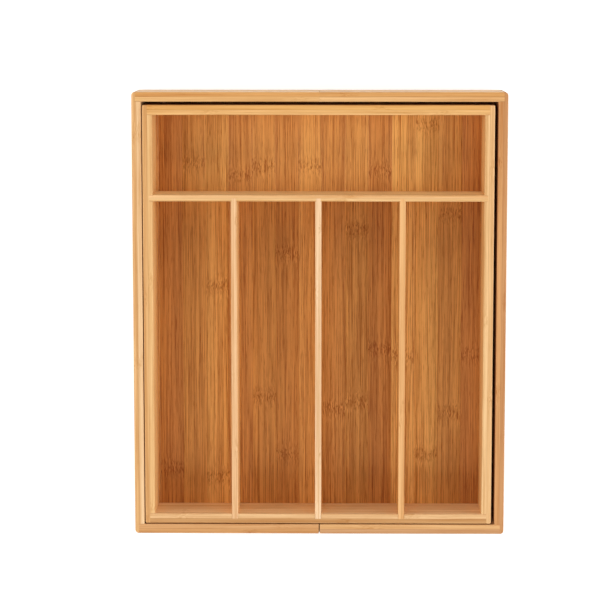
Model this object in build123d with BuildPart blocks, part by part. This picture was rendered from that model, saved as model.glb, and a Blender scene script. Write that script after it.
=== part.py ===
"""Expandable bamboo cutlery tray: a five-compartment tray between two slide-out sections.

Frame: millimetres, +X right, +Y back, +Z up. The origin is on the ground, under the middle of the
closed tray. Every board is at its closed place. The left section slides out along -X, the right
one along +X.
"""

import os

from build123d import *

# Overall size, closed
closed_width = 371.5
tray_length = 444.0
tray_height = 63.5
slide_travel = 95.0

# Board thicknesses
section_wall = 9.5
tray_wall = 9.8
divider = 6.2
floor_board = 4.0

# Gaps between the tray and the sections round it
left_gap = 0.95
right_gap = 3.3
back_gap = 3.3
front_gap = 1.0
slide_clearance = 0.3

# Seam where the two sections meet: hairline, but at its front end it opens towards the rim
seam_clearance = 0.06
front_seam = 1.1
seam_relief = 6.0

# Corner joints: what is left of a side wall outside its rabbet
section_lip = 3.8
tray_lip = 4.8

# Rounded and eased edges
section_corner = 3.5
front_seam_corner = 1.6
back_seam_corner = 0.6
tray_corner = 1.5
easing = 1.0
divider_easing = 0.7

# Floor boards in their grooves: height over the lower edge of the walls, and depth
section_floor_height = 2.5
tray_floor_height = 2.0
floor_groove = 4.0

# Dividers and their housings
divider_count = 3
back_compartment = 79.2
side_housing = 3.5
front_housing = 5.0
tongue_length = 3.0
tongue_width = 4.6

# Guide pins, the holes that they are glued in and the slots that they run in
pin_diameter = 6.0
pin_length = 13.0
pin_inset = 19.5
pin_height = 24.0
pin_engagement = 4.5
pin_chamfer = 0.5
glue_line = 0.05
slot_depth = 5.5

# Places worked out from the sizes above
half_width = closed_width / 2
half_length = tray_length / 2
section_inside = half_width - section_wall
section_end = half_length - section_wall
section_floor_top = section_floor_height + floor_board
pin_reach = section_inside - pin_inset

tray_left = -section_inside + left_gap
tray_right = section_inside - right_gap
tray_front = -section_end + front_gap
tray_back = section_end - back_gap
tray_bottom = section_floor_top + slide_clearance
tray_floor_bottom = tray_bottom + tray_floor_height
tray_floor_top = tray_floor_bottom + floor_board

inside_left = tray_left + tray_wall
inside_right = tray_right - tray_wall
inside_front = tray_front + tray_wall
inside_back = tray_back - tray_wall

cross_back = inside_back - back_compartment
cross_front = cross_back - divider
bay_width = (inside_right - inside_left - divider_count * divider) / (divider_count + 1)
divider_places = [
    inside_left + (number + 1) * bay_width + (number + 0.5) * divider
    for number in range(divider_count)
]

# The pins are alike, so the hole is deeper where the gap that a pin crosses is narrower
front_pin_depth = pin_length - front_gap - pin_engagement
back_pin_depth = pin_length - back_gap - pin_engagement

os.makedirs("parts", exist_ok=True)


def save(piece, name):
    """Labels a finished piece and writes it to its own file."""
    piece.part.label = name
    export_step(piece.part, f"parts/{name}.step")


def block(x, y, z, mode=Mode.ADD):
    """Adds or cuts a box that spans the ranges x, y and z, each a pair of ends in any order."""
    ranges = (x, y, z)
    with Locations(tuple(sum(ends) / 2 for ends in ranges)):
        Box(*(abs(ends[1] - ends[0]) for ends in ranges), mode=mode)


def ease(piece, axis, ends, radius=easing):
    """Rounds over long top edges of a wall: in ends, 0 is the low one on that axis, -1 the high."""
    top_edges = piece.faces().sort_by(Axis.Z)[-1].edges().group_by(axis)
    fillet([edge for end in ends for edge in top_edges[end]], radius=radius)


def facing(x, y, direction):
    """A plane upright at (x, y) and at pin height, which looks along direction on the Y axis."""
    return Plane(origin=(x, y, pin_height), x_dir=(1, 0, 0), z_dir=(0, direction, 0))


# The tray as it is sanded after glue-up: its outline, rounded at the corners and eased on top
with BuildPart() as tray_outline:
    with BuildSketch():
        with Locations(((tray_left + tray_right) / 2, (tray_front + tray_back) / 2)):
            RectangleRounded(tray_right - tray_left, tray_back - tray_front, tray_corner)
    extrude(amount=tray_height)
    fillet(tray_outline.faces().sort_by(Axis.Z)[-1].edges(), radius=easing)


def tray_side_wall(name, outside, inside):
    """A side wall: full length, rabbeted at both ends for the front and back walls."""
    inward = 1 if inside > outside else -1
    with BuildPart() as wall:
        block((outside, inside), (tray_front, tray_back), (tray_bottom, tray_height))
        ease(wall, Axis.X, (-1 if inward > 0 else 0,))
        rabbet = (outside + inward * tray_lip, inside)
        block(rabbet, (tray_front, inside_front), (0, tray_height), Mode.SUBTRACT)
        block(rabbet, (inside_back, tray_back), (0, tray_height), Mode.SUBTRACT)
        groove = (inside - inward * floor_groove, inside)
        block(groove, (tray_front, tray_back), (tray_floor_bottom, tray_floor_top), Mode.SUBTRACT)
        housing = (inside - inward * side_housing, inside)
        block(housing, (cross_front, cross_back), (tray_floor_top, tray_height), Mode.SUBTRACT)
        add(tray_outline.part, mode=Mode.INTERSECT)
    save(wall, name)


tray_side_wall("tray_left_wall", tray_left, inside_left)
tray_side_wall("tray_right_wall", tray_right, inside_right)


def tray_end_wall(name, outside, inside, pin_depth, housing_depth):
    """The front or back wall: between the side walls' lips, with a blind hole for each pin."""
    inward = 1 if inside > outside else -1
    with BuildPart() as wall:
        length = (tray_left + tray_lip, tray_right - tray_lip)
        block(length, (outside, inside), (tray_bottom, tray_height))
        ease(wall, Axis.Y, (-1 if inward > 0 else 0,))
        groove = (inside - inward * floor_groove, inside)
        block(length, groove, (tray_floor_bottom, tray_floor_top), Mode.SUBTRACT)
        if housing_depth:
            for place in divider_places:
                width = (place - divider / 2, place + divider / 2)
                depth = (inside - inward * housing_depth, inside)
                block(width, depth, (tray_floor_top, tray_height), Mode.SUBTRACT)
        with Locations(facing(-pin_reach, outside, -inward), facing(pin_reach, outside, -inward)):
            Hole(pin_diameter / 2 + glue_line, depth=pin_depth)
        add(tray_outline.part, mode=Mode.INTERSECT)
    save(wall, name)


tray_end_wall("tray_front_wall", tray_front, inside_front, front_pin_depth, front_housing)
tray_end_wall("tray_back_wall", tray_back, inside_back, back_pin_depth, 0)

# Tray floor: one board in the grooves of all four walls
with BuildPart() as tray_floor:
    block(
        (inside_left - floor_groove, inside_right + floor_groove),
        (inside_front - floor_groove, inside_back + floor_groove),
        (tray_floor_bottom, tray_floor_top),
    )
save(tray_floor, "tray_floor")

# Cross divider: let into both side walls, and grooved in front for the long dividers' tongues
with BuildPart() as cross_divider:
    span = (inside_left - side_housing, inside_right + side_housing)
    block(span, (cross_front, cross_back), (tray_floor_top, tray_height))
    ease(cross_divider, Axis.Y, (0, -1), divider_easing)
    for place in divider_places:
        width = (place - tongue_width / 2, place + tongue_width / 2)
        depth = (cross_front, cross_front + tongue_length)
        block(width, depth, (tray_floor_top, tray_height), Mode.SUBTRACT)
save(cross_divider, "cross_divider")

# Long dividers: housed at full thickness in the front wall, and by a tongue in the cross divider
for position, place in zip(("left", "middle", "right"), divider_places):
    with BuildPart() as long_divider:
        width = (place - divider / 2, place + divider / 2)
        length = (inside_front - front_housing, cross_front)
        block(width, length, (tray_floor_top, tray_height))
        ease(long_divider, Axis.X, (0, -1), divider_easing)
        tongue = (place - tongue_width / 2, place + tongue_width / 2)
        length = (cross_front, cross_front + tongue_length)
        block(tongue, length, (tray_floor_top, tray_height))
    save(long_divider, f"{position}_long_divider")


# The two sections as they are sanded, closed: one outline, rounded at the corners, eased on top
with BuildPart() as closed_outline:
    with BuildSketch():
        RectangleRounded(closed_width, tray_length, section_corner)
    extrude(amount=tray_height)
    fillet(closed_outline.faces().sort_by(Axis.Z)[-1].edges(), radius=easing)


def half_outline(sign):
    """One section's half of that outline. The top of its front end slopes away from the seam."""
    front_wall_inside = Plane(
        origin=(0, -section_end, tray_height), x_dir=(1, 0, 0), z_dir=(0, -1, 0)
    )
    with BuildPart() as half:
        with BuildSketch() as plan:
            with BuildLine():
                Polyline(
                    (sign * seam_clearance / 2, -half_length),
                    (sign * half_width, -half_length),
                    (sign * half_width, half_length),
                    (sign * seam_clearance / 2, half_length),
                    close=True,
                )
            make_face()
            fillet(seam_end(plan, 0), radius=front_seam_corner)
            fillet(seam_end(plan, -1), radius=back_seam_corner)
        extrude(amount=tray_height)
        with BuildSketch(front_wall_inside) as slope:
            with BuildLine():
                Polyline(
                    (sign * seam_clearance / 2, -seam_relief),
                    (sign * front_seam / 2, 0),
                    (0, 0),
                    close=True,
                )
            make_face()
        extrude(slope.sketch, amount=section_wall, mode=Mode.SUBTRACT)
        add(closed_outline.part, mode=Mode.INTERSECT)
    return half.part


def seam_end(plan, place):
    """The sharp corner of a half outline at the front end (0) or the back end (-1) of its seam."""
    ends = plan.vertices().group_by(Axis.Y)[place]
    return ends.sort_by(lambda corner: abs(corner.X))[0]


def section(side, sign):
    """One slide-out section: a side wall, two half walls with slots, and a floor, open inwards."""
    outline = half_outline(sign)
    height = (0, tray_height)
    floor_level = (section_floor_height, section_floor_top)
    side_inside = sign * section_inside
    floor_edge = sign * (section_inside + floor_groove)
    lip = sign * (half_width - section_lip)

    with BuildPart() as side_wall:
        block((side_inside, sign * half_width), (-half_length, half_length), height)
        ease(side_wall, Axis.X, (0 if sign > 0 else -1,))
        block((side_inside, lip), (-half_length, -section_end), height, Mode.SUBTRACT)
        block((side_inside, lip), (section_end, half_length), height, Mode.SUBTRACT)
        block((side_inside, floor_edge), (-half_length, half_length), floor_level, Mode.SUBTRACT)
        add(outline, mode=Mode.INTERSECT)
    save(side_wall, f"{side}_section_side_wall")

    for end, outward in (("front", -1), ("back", 1)):
        inner_face = outward * section_end
        with BuildPart() as half_wall:
            block((0, lip), (inner_face, outward * half_length), height)
            ease(half_wall, Axis.Y, (0 if outward > 0 else -1,))
            groove = (inner_face, inner_face + outward * floor_groove)
            block((0, lip), groove, floor_level, Mode.SUBTRACT)
            slot_middle = sign * (pin_reach - slide_travel / 2)
            with BuildSketch(facing(slot_middle, inner_face, outward)) as slot:
                SlotCenterToCenter(slide_travel, pin_diameter + 2 * slide_clearance)
            extrude(slot.sketch, amount=slot_depth, mode=Mode.SUBTRACT)
            add(outline, mode=Mode.INTERSECT)
        save(half_wall, f"{side}_section_{end}_wall")

    with BuildPart() as floor:
        floor_end = section_end + floor_groove
        block((0, floor_edge), (-floor_end, floor_end), floor_level)
        add(outline, mode=Mode.INTERSECT)
    save(floor, f"{side}_section_floor")


def guide_pins(side, sign):
    """The two pins that one section slides on: from the bottom of their holes into the slots."""
    with BuildPart() as pins:
        for hole_bottom, outward in (
            (tray_front + front_pin_depth, -1),
            (tray_back - back_pin_depth, 1),
        ):
            with BuildSketch(facing(sign * pin_reach, hole_bottom, outward)) as end:
                Circle(pin_diameter / 2)
            extrude(end.sketch, amount=pin_length)
        chamfer(pins.edges().filter_by(GeomType.CIRCLE), length=pin_chamfer)
    save(pins, f"{side}_guide_pins")


for side, sign in (("left", -1), ("right", 1)):
    section(side, sign)
    guide_pins(side, sign)
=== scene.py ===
"""Looks of the expandable bamboo cutlery tray, on the frame that holds its boards."""

import math

import bpy
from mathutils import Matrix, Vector


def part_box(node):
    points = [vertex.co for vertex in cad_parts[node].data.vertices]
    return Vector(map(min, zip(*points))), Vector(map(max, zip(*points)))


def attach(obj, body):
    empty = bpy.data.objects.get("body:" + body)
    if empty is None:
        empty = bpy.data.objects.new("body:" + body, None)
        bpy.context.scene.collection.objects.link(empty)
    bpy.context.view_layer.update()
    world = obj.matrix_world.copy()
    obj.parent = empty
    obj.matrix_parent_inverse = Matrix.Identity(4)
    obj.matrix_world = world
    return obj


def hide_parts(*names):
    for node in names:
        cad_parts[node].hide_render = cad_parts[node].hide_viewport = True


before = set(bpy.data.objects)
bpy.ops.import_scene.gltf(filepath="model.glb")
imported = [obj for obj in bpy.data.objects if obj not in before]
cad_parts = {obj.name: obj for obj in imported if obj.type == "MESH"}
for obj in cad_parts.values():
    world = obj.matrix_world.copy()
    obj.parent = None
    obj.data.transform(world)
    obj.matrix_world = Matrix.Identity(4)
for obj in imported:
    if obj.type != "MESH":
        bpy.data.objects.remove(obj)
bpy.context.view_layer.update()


# Tray floor
# A thin panel of caramelised bamboo strips, pressed side by side, that sits in grooves of the
# tray's four walls. The strips run front to back, each with its own tone and its own nodes. The
# tones listed for this panel are in part painted shade and light, darker beside the outer walls.

MM = 0.001


def colour(code):
    """Turns an sRGB hex code such as #C58A50 into the linear colour that a shader takes."""
    shares = [int(code[place : place + 2], 16) / 255 for place in (1, 3, 5)]
    linear = [s / 12.92 if s <= 0.04045 else ((s + 0.055) / 1.055) ** 2.4 for s in shares]
    return (*linear, 1.0)


def add_node(tree, kind, inputs=None, **settings):
    """Adds a node with its settings. An input is a value, or a node or socket that feeds it."""
    node = tree.nodes.new(kind)
    for name, value in settings.items():
        setattr(node, name, value)
    for key, value in (inputs or {}).items():
        if isinstance(value, bpy.types.Node):
            value = next(socket for socket in value.outputs if socket.enabled)
        if isinstance(value, bpy.types.NodeSocket):
            tree.links.new(value, node.inputs[key])
        else:
            node.inputs[key].default_value = value
    return node


def start_finish(name):
    """An empty material, with its tree and the node that gives places on it in millimetres."""
    material = bpy.data.materials.new(name)
    material.use_nodes = True
    tree = material.node_tree
    tree.nodes.clear()
    on_object = add_node(tree, "ShaderNodeTexCoord").outputs["Object"]
    millimetres = add_node(
        tree, "ShaderNodeVectorMath", {0: on_object, "Scale": 1 / MM}, operation="SCALE"
    )
    return material, tree, millimetres


# Length and width in millimetres of what bamboo shows along the culm. Real fibre bundles are 0.3
# to 0.5 mm wide, near the limit of what shows from this far, so none is drawn finer than 0.5 mm.
GRAIN = {
    "sway": (13.0, 3.0),
    "fibre": (65.0, 0.5),
    "band": (200.0, 3.2),
    "bundle": (13.0, 0.5),
    "fleck": (4.6, 0.8),
}
# The levels of the noise between which a pattern goes from nothing to its darkest
DARK_FROM = {"bundle": (0.55, 0.72), "fleck": (0.48, 0.66)}
# In millimetres from the middle of a node: how far its fibres wander, how far its dark flecks
# reach, and how near they are at their darkest. Then how far aside a fibre wanders.
NODE_REACH, NODE_CORE, NODE_HEART = 22.0, 11.0, 1.0
NODE_WANDER = 2.7
# The mean of the noise, and how far apart the patterns read it, so that no two of them line up
NOISE_MIDDLE = 0.5
NOISE_STEP = 7.3


def bamboo_grain(tree, place, node_distance, shares, plain_share):
    """How much of a board's colour comes from its darker fibres, from 0 to 1.

    place runs along the fibres on X and across them on Y and Z. shares says how strongly each
    pattern of the grain shows, round the plain share that a board has without them.
    """
    patterns = {}
    swayed = place
    for order, (name, (length, width)) in enumerate(GRAIN.items()):
        stretched = add_node(
            tree,
            "ShaderNodeVectorMath",
            {
                0: swayed,
                1: (1 / length, 1 / width, 1 / width),
                2: (NOISE_STEP * order, 0.0, 0.0),
            },
            operation="MULTIPLY_ADD",
        )
        patterns[name] = add_node(
            tree, "ShaderNodeTexNoise", {"Vector": stretched, "Scale": 1.0, "Detail": 1.0}
        )
        if name == "sway":
            # Near a node the fibres part and close again
            near = add_node(
                tree,
                "ShaderNodeMapRange",
                {
                    "Value": node_distance,
                    "From Min": NODE_REACH,
                    "From Max": 0.0,
                    "To Max": NODE_WANDER,
                },
                interpolation_type="SMOOTHSTEP",
            )
            aside = add_node(
                tree, "ShaderNodeMath", {0: patterns[name], 1: NOISE_MIDDLE}, operation="SUBTRACT"
            )
            push = add_node(tree, "ShaderNodeMath", {0: aside, 1: near}, operation="MULTIPLY")
            sideways = add_node(tree, "ShaderNodeCombineXYZ", {1: push, 2: push})
            swayed = add_node(
                tree, "ShaderNodeVectorMath", {0: place, 1: sideways}, operation="ADD"
            )

    share = plain_share
    for name in ("fibre", "band"):
        centred = add_node(
            tree, "ShaderNodeMath", {0: patterns[name], 1: NOISE_MIDDLE}, operation="SUBTRACT"
        )
        share = add_node(
            tree,
            "ShaderNodeMath",
            {0: centred, 1: shares[name], 2: share},
            operation="MULTIPLY_ADD",
        )
    for name, (low, high) in DARK_FROM.items():
        dark = add_node(
            tree,
            "ShaderNodeMapRange",
            {"Value": patterns[name], "From Min": low, "From Max": high, "To Max": shares[name]},
            interpolation_type="SMOOTHSTEP",
        )
        if name == "fleck":
            core = add_node(
                tree,
                "ShaderNodeMapRange",
                {"Value": node_distance, "From Min": NODE_CORE, "From Max": NODE_HEART},
                interpolation_type="SMOOTHSTEP",
            )
            dark = add_node(tree, "ShaderNodeMath", {0: dark, 1: core}, operation="MULTIPLY")
        share = add_node(tree, "ShaderNodeMath", {0: share, 1: dark}, operation="ADD")
    return add_node(tree, "ShaderNodeClamp", {0: share})


# Roughness of the lacquer on the pale flesh and on the darker fibres, and where it has soaked in
SMOOTH, SATIN, MATT = 0.44, 0.58, 0.95
FIBRE_RELIEF = 0.1 * MM
RELIEF_SHOWS = 0.3


def lacquer(material, tree, base, fibres, bare=0.0):
    """Sanded bamboo under a thin satin lacquer: a soft sheen, with the fibres just to be felt.

    bare is 1 where the lacquer has soaked in and left the surface matt.
    """
    coated = add_node(
        tree, "ShaderNodeMapRange", {"Value": fibres, "To Min": SMOOTH, "To Max": SATIN}
    )
    roughness = add_node(
        tree, "ShaderNodeMapRange", {"Value": bare, "To Min": coated, "To Max": MATT}
    )
    bump = add_node(
        tree,
        "ShaderNodeBump",
        {"Height": fibres, "Strength": RELIEF_SHOWS, "Distance": FIBRE_RELIEF},
        invert=True,
    )
    surface = add_node(
        tree,
        "ShaderNodeBsdfPrincipled",
        {
            "Base Color": base,
            "Roughness": roughness,
            "Normal": bump,
            "IOR": 1.5,
            "Specular IOR Level": 0.25,
        },
    )
    add_node(tree, "ShaderNodeOutputMaterial", {"Surface": surface})
    return material


PANEL_GRAIN = {"fibre": 2.7, "band": 1.1, "bundle": 0.55, "fleck": 0.85}
PANEL_PLAIN = 0.28
# In millimetres, for a step of one in the tone
PATTERN_SHIFT = 700.0


def pressed_panel(name):
    """Caramelised bamboo, heated until it browns. Tones and nodes come from the strips' mesh, and
    the tones of the tray's strips also hold painted shade and light.
    """
    material, tree, millimetres = start_finish(name)
    x, y, z = add_node(tree, "ShaderNodeSeparateXYZ", {0: millimetres}).outputs
    tone_and_shade = add_node(tree, "ShaderNodeAttribute", attribute_name="tone_and_shade").outputs["Fac"]
    distances = {}
    for order, key in enumerate(("front_node", "back_node")):
        node_y = add_node(tree, "ShaderNodeAttribute", attribute_name=key).outputs["Fac"]
        away = add_node(tree, "ShaderNodeMath", {0: y, 1: node_y}, operation="SUBTRACT")
        distances[order] = add_node(tree, "ShaderNodeMath", {0: away}, operation="ABSOLUTE")
    nearest = add_node(tree, "ShaderNodeMath", distances, operation="MINIMUM")

    # The tone also moves the pattern, so that no fibre runs on from one strip into the next
    level = add_node(
        tree, "ShaderNodeMath", {0: tone_and_shade, 1: PATTERN_SHIFT, 2: z}, operation="MULTIPLY_ADD"
    )
    place = add_node(tree, "ShaderNodeCombineXYZ", {0: y, 1: x, 2: level})
    fibres = bamboo_grain(tree, place, nearest, PANEL_GRAIN, PANEL_PLAIN)

    # The tone, painted shade and light included, sets the ground colour between dark and light
    tone_share = add_node(
        tree, "ShaderNodeMapRange", {"Value": tone_and_shade, "From Min": -1.0, "From Max": 1.0}
    )
    ground = add_node(
        tree,
        "ShaderNodeMix",
        {"Factor": tone_share, 6: colour("#C67D3C"), 7: colour("#F3B564")},
        data_type="RGBA",
    )
    tint = add_node(
        tree,
        "ShaderNodeMix",
        {"Factor": fibres, 6: colour("#FFFFFF"), 7: colour("#B69773")},
        data_type="RGBA",
    )
    base = add_node(
        tree,
        "ShaderNodeMix",
        {"Factor": 1.0, 6: ground, 7: tint},
        data_type="RGBA",
        blend_type="MULTIPLY",
    )
    return lacquer(material, tree, base, fibres)


STRIP_WIDTH = 23.6 * MM
STRIP_EASING = 0.12 * MM


def strip_tree():
    """Geometry Nodes that lay one eased strip on each point, as wide as the point says."""
    tree = bpy.data.node_groups.new("pressed_strips", "GeometryNodeTree")
    sockets = tree.interface
    sockets.new_socket("Geometry", in_out="INPUT", socket_type="NodeSocketGeometry")
    for name in ("Strip width", "Strip length", "Strip thickness", "Edge easing"):
        sockets.new_socket(name, in_out="INPUT", socket_type="NodeSocketFloat")
    sockets.new_socket("Finish", in_out="INPUT", socket_type="NodeSocketMaterial")
    sockets.new_socket("Geometry", in_out="OUTPUT", socket_type="NodeSocketGeometry")
    given = add_node(tree, "NodeGroupInput").outputs

    # The strip's section lies across the sweep: its width on X, its thickness on Z
    section = add_node(
        tree,
        "GeometryNodeCurvePrimitiveQuadrilateral",
        {"Width": given["Strip width"], "Height": given["Strip thickness"]},
    )
    eased = add_node(
        tree,
        "GeometryNodeFilletCurve",
        {"Curve": section, "Count": 2, "Radius": given["Edge easing"]},
        mode="POLY",
    )
    half = add_node(
        tree, "ShaderNodeMath", {0: given["Strip length"], 1: 0.5}, operation="MULTIPLY"
    )
    back = add_node(tree, "ShaderNodeCombineXYZ", {1: half})
    front = add_node(tree, "ShaderNodeVectorMath", {0: back, "Scale": -1.0}, operation="SCALE")
    run = add_node(tree, "GeometryNodeCurvePrimitiveLine", {"Start": front, "End": back})
    strip = add_node(
        tree, "GeometryNodeCurveToMesh", {"Curve": run, "Profile Curve": eased, "Fill Caps": True}
    )
    width = add_node(
        tree, "GeometryNodeInputNamedAttribute", {"Name": "width_share"}, data_type="FLOAT"
    )
    scale = add_node(tree, "ShaderNodeCombineXYZ", {0: width, 1: 1.0, 2: 1.0})
    laid = add_node(
        tree,
        "GeometryNodeInstanceOnPoints",
        {"Points": given["Geometry"], "Instance": strip, "Scale": scale},
    )
    real = add_node(tree, "GeometryNodeRealizeInstances", {0: laid})
    finished = add_node(
        tree, "GeometryNodeSetMaterial", {"Geometry": real, "Material": given["Finish"]}
    )
    add_node(tree, "NodeGroupOutput", {0: finished})
    return tree


def strip_panel(node, body, first_edge, strips, finish, tree):
    """Lays a panel of strips where a CAD floor board is, and shows it in that board's place.

    strips gives each strip's tone and the Y of its two nodes in millimetres, from the left.
    first_edge is where the first of them begins. The board's sides cut the outermost short.
    """
    low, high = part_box(node)
    edges = [first_edge + number * STRIP_WIDTH for number in range(len(strips) + 1)]
    edges = [min(max(edge, low[0]), high[0]) for edge in edges]
    edges[0], edges[-1] = low[0], high[0]
    pairs = list(zip(edges, edges[1:]))
    centre_y, centre_z = (low[1] + high[1]) / 2, (low[2] + high[2]) / 2
    points = bpy.data.meshes.new(f"{node}_strips")
    points.from_pydata([((left + right) / 2, centre_y, centre_z) for left, right in pairs], [], [])
    values = {
        "width_share": [(right - left) / STRIP_WIDTH for left, right in pairs],
        "tone_and_shade": [tone_and_shade for tone_and_shade, front_node, back_node in strips],
        "front_node": [front_node for tone_and_shade, front_node, back_node in strips],
        "back_node": [back_node for tone_and_shade, front_node, back_node in strips],
    }
    for key, numbers in values.items():
        points.attributes.new(key, "FLOAT", "POINT").data.foreach_set("value", numbers)

    panel = bpy.data.objects.new(f"{node}_strips", points)
    bpy.context.scene.collection.objects.link(panel)
    modifier = panel.modifiers.new("strips", "NODES")
    modifier.node_group = tree
    sizes = {
        "Strip width": STRIP_WIDTH,
        "Strip length": high[1] - low[1],
        "Strip thickness": high[2] - low[2],
        "Edge easing": STRIP_EASING,
        "Finish": finish,
    }
    for item in tree.interface.items_tree:
        if item.in_out == "INPUT" and item.name in sizes:
            modifier[item.identifier] = sizes[item.name]
    laid = panel.evaluated_get(bpy.context.evaluated_depsgraph_get())
    mesh = bpy.data.meshes.new_from_object(laid)
    panel.modifiers.clear()
    panel.data = mesh
    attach(panel, body)
    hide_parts(node)


# Tone, front node and back node of each strip, from the left. The tones of the tray's strips are
# part their own and part painted shade and light. A node that a strip lacks is put off the panel.
OFF = 900.0
tray_strips = [
    (-0.1, OFF, OFF),
    (-0.58, -165.0, OFF),
    (0.15, OFF, 149.0),
    (0.62, -174.0, 23.0),
    (-0.35, OFF, 136.0),
    (-0.06, -90.0, 145.0),
    (-0.3, -150.0, 57.0),
    (0.19, OFF, 145.0),
    (-0.18, -103.0, OFF),
    (0.23, -96.0, 81.0),
    (-0.49, -41.0, 141.0),
    (1.0, -48.0, OFF),
    (0.99, -150.0, 187.0),
    (0.21, -107.0, 97.0),
    (-0.68, -47.0, OFF),
]
TRAY_FIRST_EDGE = -186.6 * MM

panel_finish = pressed_panel("caramelised_bamboo_panel")
strips_of_panel = strip_tree()
strip_panel("tray_floor", "tray", TRAY_FIRST_EDGE, tray_strips, panel_finish, strips_of_panel)


# Floors of the two sections
# The same pressed panel, in grooves of a section's three walls. They slide under the tray.

section_strips = [
    (0.2, -120.0, 95.0),
    (-0.3, -40.0, 170.0),
    (0.4, -160.0, 60.0),
    (0.0, -90.0, 130.0),
    (-0.5, -15.0, OFF),
    (0.3, -135.0, 105.0),
    (0.1, -70.0, 150.0),
    (-0.2, -185.0, 35.0),
]
for side, strips in (("left", section_strips), ("right", section_strips[::-1])):
    node = f"{side}_section_floor"
    first_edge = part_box(node)[0][0]
    strip_panel(node, f"{side}_section", first_edge, strips, panel_finish, strips_of_panel)


# Tray walls
# Two plies of pale natural bamboo glued face to face, so that a rim shows two stripes and a thin
# glue line. Corners are rabbeted: the outer ply of a side wall runs through.

BOARD_GRAIN = {"fibre": 1.5, "band": 1.7, "bundle": 0.2, "fleck": 0.4}
BOARD_PLAIN = 0.3
# In millimetres: the width of a strip, the length from node to node, how far the patterns of two
# strips can lie apart, and how far from its middle the glue line shows
BOARD_STRIP = 21.2
INTERNODE = 230.0
STRIP_SHIFT = 300.0
GLUE_LINE = 0.5
GLUE_SHOWS = 0.3
BUNDLES_PER_MM = 1.1
# A face counts as broad or as cut from FACING on. The turn from one to the other is the easing.
TURNING_AWAY, FACING = 0.75, 0.95
X_GRAIN, Y_GRAIN = 0, 1


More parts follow.
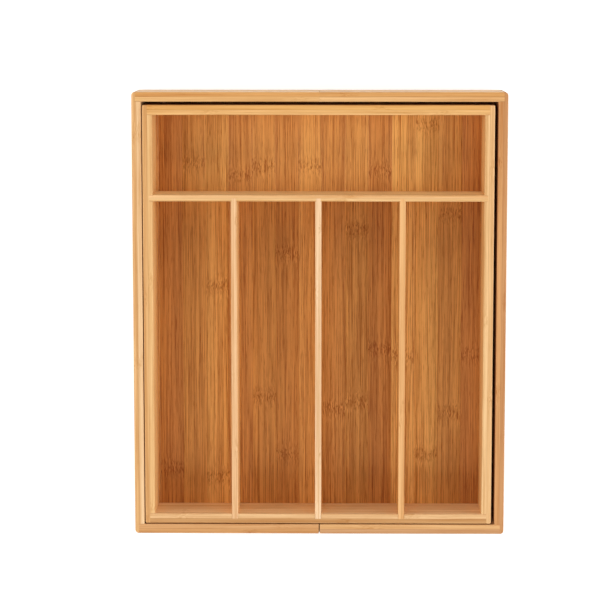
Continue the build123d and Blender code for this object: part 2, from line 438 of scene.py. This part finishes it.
def laminated_board(node, grain_axis, inner, outer, seed):
    """A two-ply board of strips whose fibres run along grain_axis.

    inner and outer give the two colours of a ply: that of its edge, which the rim shows, and
    that of its broad face. Where the two differ, the broad face's colour is partly the flat grain's
    own and partly painted light and shade: lighter on faces taken as well lit, darker on faces
    taken as shaded.
    """
    low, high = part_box(node)
    through_axis = 1 - grain_axis
    glue_place = (low[through_axis] + high[through_axis]) / 2 / MM
    material, tree, millimetres = start_finish(f"{node}_bamboo")
    axes = add_node(tree, "ShaderNodeSeparateXYZ", {0: millimetres}).outputs
    along, through, height = axes[grain_axis], axes[through_axis], axes[2]

    # Each strip of each ply has its own tone and its own run of nodes
    ply = add_node(
        tree, "ShaderNodeMath", {0: through, 1: glue_place}, operation="GREATER_THAN"
    )
    strip = add_node(tree, "ShaderNodeMath", {0: height, 1: BOARD_STRIP}, operation="DIVIDE")
    strip = add_node(tree, "ShaderNodeMath", {0: strip}, operation="FLOOR")
    which = add_node(tree, "ShaderNodeCombineXYZ", {0: strip, 1: ply, 2: seed})
    chance = add_node(tree, "ShaderNodeTexWhiteNoise", {"Vector": which}, noise_dimensions="3D")
    start = add_node(tree, "ShaderNodeSeparateColor", {0: chance.outputs["Color"]}).outputs[1]
    turns = add_node(
        tree, "ShaderNodeMath", {0: along, 1: 1 / INTERNODE, 2: start}, operation="MULTIPLY_ADD"
    )
    phase = add_node(tree, "ShaderNodeMath", {0: turns}, operation="FRACT")
    from_node = add_node(tree, "ShaderNodeMath", {0: phase, 1: 0.5}, operation="SUBTRACT")
    from_node = add_node(tree, "ShaderNodeMath", {0: from_node}, operation="ABSOLUTE")
    node_distance = add_node(
        tree, "ShaderNodeMath", {0: from_node, 1: INTERNODE}, operation="MULTIPLY"
    )

    # The chance also moves the pattern, so that no fibre runs on from one strip into the next
    level = add_node(
        tree,
        "ShaderNodeMath",
        {0: chance.outputs["Value"], 1: STRIP_SHIFT, 2: through},
        operation="MULTIPLY_ADD",
    )
    place = add_node(tree, "ShaderNodeCombineXYZ", {0: along, 1: height, 2: level})
    fibres = bamboo_grain(tree, place, node_distance, BOARD_GRAIN, BOARD_PLAIN)

    # Which ply, and whether the spot is on an edge, a broad face or a cut end, sets the colour. A
    # broad face's colour holds painted light and shade besides its grain's tone
    low_ply, high_ply = (outer, inner) if glue_place < 0 else (inner, outer)
    edge, face = (
        add_node(
            tree,
            "ShaderNodeMix",
            {"Factor": ply, 6: colour(low_code), 7: colour(high_code)},
            data_type="RGBA",
        )
        for low_code, high_code in zip(low_ply, high_ply)
    )
    normal = add_node(tree, "ShaderNodeNewGeometry").outputs["Normal"]
    facings = add_node(tree, "ShaderNodeVectorMath", {0: normal}, operation="ABSOLUTE")
    facings = add_node(tree, "ShaderNodeSeparateXYZ", {0: facings}).outputs
    broad, cut = (
        add_node(
            tree,
            "ShaderNodeMapRange",
            {"Value": facings[axis], "From Min": TURNING_AWAY, "From Max": FACING},
        )
        for axis in (through_axis, grain_axis)
    )
    ground = add_node(
        tree, "ShaderNodeMix", {"Factor": broad, 6: edge, 7: face}, data_type="RGBA"
    )
    strip_tone = add_node(
        tree,
        "ShaderNodeMix",
        {"Factor": chance.outputs["Value"], 6: colour("#F2EEE8"), 7: colour("#FFFFFF")},
        data_type="RGBA",
    )
    tint = add_node(
        tree,
        "ShaderNodeMix",
        {"Factor": fibres, 6: strip_tone, 7: colour("#D2B793")},
        data_type="RGBA",
    )
    base = add_node(
        tree,
        "ShaderNodeMix",
        {"Factor": 1.0, 6: ground, 7: tint},
        data_type="RGBA",
        blend_type="MULTIPLY",
    )

    # The glue line shows on the rim and at the ends, where the plies lie side by side. Plies of
    # one colour match so well that it can't be seen.
    if inner != outer:
        from_glue = add_node(
            tree, "ShaderNodeMath", {0: through, 1: glue_place}, operation="SUBTRACT"
        )
        from_glue = add_node(tree, "ShaderNodeMath", {0: from_glue}, operation="ABSOLUTE")
        glue = add_node(
            tree,
            "ShaderNodeMapRange",
            {
                "Value": from_glue,
                "From Min": GLUE_LINE,
                "From Max": 0.0,
                "To Max": GLUE_SHOWS,
            },
            interpolation_type="SMOOTHSTEP",
        )
        base = add_node(
            tree,
            "ShaderNodeMix",
            {"Factor": glue, 6: base, 7: colour("#9A6536")},
            data_type="RGBA",
        )

    # Faces cut across the fibres are browner, dotted with the ends of bundles, and soak up lacquer.
    # Their browns are made darker still as painted shade, so that the seam between the half walls
    # reads dark.
    bundle_ends = add_node(
        tree, "ShaderNodeTexVoronoi", {"Vector": millimetres, "Scale": BUNDLES_PER_MM}
    )
    end_dots_and_seam_shade = add_node(tree, "ShaderNodeValToRGB", {"Fac": bundle_ends})
    end_dots_and_seam_shade.color_ramp.elements[0].position = 0.1
    end_dots_and_seam_shade.color_ramp.elements[0].color = colour("#85552D")
    end_dots_and_seam_shade.color_ramp.elements[1].position = 0.55
    end_dots_and_seam_shade.color_ramp.elements[1].color = colour("#BF8A54")
    base = add_node(tree, "ShaderNodeMix", {"Factor": cut, 6: base, 7: end_dots_and_seam_shade}, data_type="RGBA")
    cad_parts[node].material_slots[0].material = lacquer(material, tree, base, fibres, cut)


# The second colour of each ply is its broad face's, partly painted light and shade: the left wall's
# and the front wall's inner faces lighter than their rims, the right wall's darker
laminated_board("tray_left_wall", Y_GRAIN, ("#F9CC90", "#FDD394"), ("#EBB87C", "#EBB87C"), 1.0)
laminated_board("tray_right_wall", Y_GRAIN, ("#F4CA93", "#E6B573"), ("#F1C48C", "#F1C48C"), 2.0)
laminated_board("tray_back_wall", X_GRAIN, ("#F5C483", "#F5C483"), ("#F0B96F", "#F0B96F"), 3.0)
laminated_board("tray_front_wall", X_GRAIN, ("#EDC08B", "#F5CE9B"), ("#D9A76F", "#D9A76F"), 4.0)


# Dividers
# Boards of the palest bamboo, 6 mm thick, the long ones with plies that match. The cross divider
# is let into the side walls. The long ones are let into the front wall and the cross divider.

# The second colour of each ply is its broad face's, partly painted light and shade: the cross
# divider's faces lighter than its rim, the right long divider's faces much darker
laminated_board("cross_divider", X_GRAIN, ("#FED49A", "#FFE2A6"), ("#FECF97", "#FFE2A6"), 5.0)
laminated_board("left_long_divider", Y_GRAIN, ("#F5C796", "#F8CD8F"), ("#F5C796", "#F8CD8F"), 6.0)
laminated_board("middle_long_divider", Y_GRAIN, ("#FED9AF", "#FED8A3"), ("#FED9AF", "#FED8A3"), 7.0)
laminated_board("right_long_divider", Y_GRAIN, ("#F6C185", "#DEA45B"), ("#F6C185", "#DEA45B"), 8.0)


# Guide pins
# Beech dowels, 6 mm thick, glued into the tray's front and back walls. Their free ends run in the
# slots of the sections. Beech is pinkish and matt, with short fine flecks along the dowel.

BEECH_FLECK_WIDTH = 0.5
BEECH_FLECK_LENGTH = 2.5
BEECH_ROUGHNESS = 0.7

dowel_finish, tree, millimetres = start_finish("beech_dowel")
stretched = add_node(
    tree,
    "ShaderNodeVectorMath",
    {0: millimetres, 1: (1 / BEECH_FLECK_WIDTH, 1 / BEECH_FLECK_LENGTH, 1 / BEECH_FLECK_WIDTH)},
    operation="MULTIPLY",
)
flecks = add_node(tree, "ShaderNodeTexNoise", {"Vector": stretched, "Scale": 1.0, "Detail": 2.0})
tint = add_node(tree, "ShaderNodeValToRGB", {"Fac": flecks})
tint.color_ramp.elements[0].position = 0.35
tint.color_ramp.elements[0].color = colour("#B07E54")
tint.color_ramp.elements[1].position = 0.6
tint.color_ramp.elements[1].color = colour("#DDAE84")
bump = add_node(
    tree,
    "ShaderNodeBump",
    {"Height": flecks, "Strength": RELIEF_SHOWS, "Distance": FIBRE_RELIEF},
)
surface = add_node(
    tree,
    "ShaderNodeBsdfPrincipled",
    {"Base Color": tint, "Roughness": BEECH_ROUGHNESS, "Normal": bump},
)
add_node(tree, "ShaderNodeOutputMaterial", {"Surface": surface})
for side in ("left", "right"):
    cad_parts[f"{side}_guide_pins"].material_slots[0].material = dowel_finish


# Walls of the two slide-out sections
# The same two-ply boards round three sides, a little browner than the tray's. The half walls of
# the left and the right section meet at a seam in the middle.

# The second colour of each ply is its broad face's. The outer faces of the back walls are painted
# lighter than their rims, as painted light
section_walls = {
    "left_section_side_wall": (Y_GRAIN, ("#FFD9A9", "#FFD9A9"), ("#EAB97F", "#EAB97F")),
    "left_section_front_wall": (X_GRAIN, ("#E4AF78", "#E4AF78"), ("#DAA36A", "#DAA36A")),
    "left_section_back_wall": (X_GRAIN, ("#F5C688", "#F5C688"), ("#E3A966", "#F7CE9D")),
    "right_section_side_wall": (Y_GRAIN, ("#DDA46C", "#DDA46C"), ("#D49C69", "#D49C69")),
    "right_section_front_wall": (X_GRAIN, ("#EAB87E", "#EAB87E"), ("#DDAB7C", "#DDAB7C")),
    "right_section_back_wall": (X_GRAIN, ("#F2C388", "#F2C388"), ("#E7AF6D", "#F7CD9D")),
}
for seed, (node, (grain_axis, inner, outer)) in enumerate(section_walls.items(), start=10):
    laminated_board(node, grain_axis, inner, outer, float(seed))


# Studio
# White paper under the tray, which keeps its shadow, and soft light from all four sides. The
# world gives the rest.

PAPER_HALF = 6.0
PAPER_DROP = 0.3 * MM
# The paper looks whiter away from the tray: from where to where in millimetres, and how much
PAPER_NEAR, PAPER_FAR = 250.0, 1300.0
NEAR_LIFT, FAR_LIFT = 0.5, 1.0
# How strongly the world lights the tray, and how bright the world itself looks
AMBIENT, WHITE = 0.2, 1.0

paper_mesh = bpy.data.meshes.new("studio_floor")
corners = [
    (x * PAPER_HALF, y * PAPER_HALF, -PAPER_DROP) for x, y in ((-1, -1), (1, -1), (1, 1), (-1, 1))
]
paper_mesh.from_pydata(corners, [], [(0, 1, 2, 3)])
studio_floor = bpy.data.objects.new("studio_floor", paper_mesh)
bpy.context.scene.collection.objects.link(studio_floor)


def seen_by_rays(tree):
    """1 where the background is seen, also in a gloss or through glass, and 0 where it lights."""
    ray = add_node(tree, "ShaderNodeLightPath").outputs
    seen = ray["Is Camera Ray"]
    for kind in ("Is Glossy Ray", "Is Transmission Ray"):
        seen = add_node(tree, "ShaderNodeMath", {0: seen, 1: ray[kind]}, operation="MAXIMUM")
    return seen


paper, tree, millimetres = start_finish("studio_paper")
from_middle = add_node(tree, "ShaderNodeVectorMath", {0: millimetres}, operation="LENGTH")
strength = add_node(
    tree,
    "ShaderNodeMapRange",
    {
        "Value": from_middle,
        "From Min": PAPER_NEAR,
        "From Max": PAPER_FAR,
        "To Min": NEAR_LIFT,
        "To Max": FAR_LIFT,
    },
    interpolation_type="SMOOTHSTEP",
)
matt = add_node(tree, "ShaderNodeBsdfDiffuse", {"Color": colour("#E6E6E4")})
lift = add_node(tree, "ShaderNodeEmission", {"Color": colour("#FFFFFF"), "Strength": strength})
lifted = add_node(tree, "ShaderNodeAddShader", {0: matt, 1: lift})
shown = add_node(tree, "ShaderNodeMixShader", {0: seen_by_rays(tree), 1: matt, 2: lifted})
clear = add_node(tree, "ShaderNodeBsdfTransparent")
from_below = add_node(tree, "ShaderNodeNewGeometry").outputs["Backfacing"]
one_sided = add_node(tree, "ShaderNodeMixShader", {0: from_below, 1: shown, 2: clear})
add_node(tree, "ShaderNodeOutputMaterial", {"Surface": one_sided})
paper_mesh.materials.append(paper)

world = bpy.data.worlds.new("studio")
bpy.context.scene.world = world
world.use_nodes = True
tree = world.node_tree
tree.nodes.clear()
ambient = add_node(
    tree, "ShaderNodeBackground", {"Color": colour("#FFFFFF"), "Strength": AMBIENT}
)
white = add_node(tree, "ShaderNodeBackground", {"Color": colour("#FFFFFF"), "Strength": WHITE})
mixed = add_node(tree, "ShaderNodeMixShader", {0: seen_by_rays(tree), 1: ambient, 2: white})
add_node(tree, "ShaderNodeOutputWorld", {"Surface": mixed})


def soft_lamp(name, place, size, watts):
    """A square soft light that looks at the middle of the tray."""
    data = bpy.data.lights.new(name, "AREA")
    data.shape = "SQUARE"
    data.size = size
    data.energy = watts
    lamp = bpy.data.objects.new(name, data)
    bpy.context.scene.collection.objects.link(lamp)
    lamp.location = place
    lamp.rotation_euler = (-Vector(place)).to_track_quat("-Z", "Y").to_euler()


soft_lamp("left_light", (-1.6, 0.1, 1.0), 0.9, 21.0)
soft_lamp("right_light", (1.6, 0.1, 1.0), 0.9, 21.0)
soft_lamp("back_light", (0.0, 1.5, 1.0), 0.9, 7.5)
soft_lamp("front_light", (0.0, -1.4, 1.3), 0.9, 10.0)

scene = bpy.context.scene
scene.view_settings.view_transform = "Standard"


# Camera
# Over two metres above the tray and a little behind its middle, so that it looks at the inner
# face of the front wall, as the photograph does.

CAMERA_PLACE = (0.0150, 0.3066, 2.3223)
CAMERA_TILT = (-7.463, 0.744, 0.0)
CAMERA_LENS = 135.0
SENSOR_WIDTH = 36.0

camera_data = bpy.data.cameras.new("camera")
camera_data.sensor_width = SENSOR_WIDTH
camera_data.lens = CAMERA_LENS
camera = bpy.data.objects.new("camera", camera_data)
scene.collection.objects.link(camera)
camera.location = CAMERA_PLACE
camera.rotation_euler = [math.radians(angle) for angle in CAMERA_TILT]
scene.camera = camera
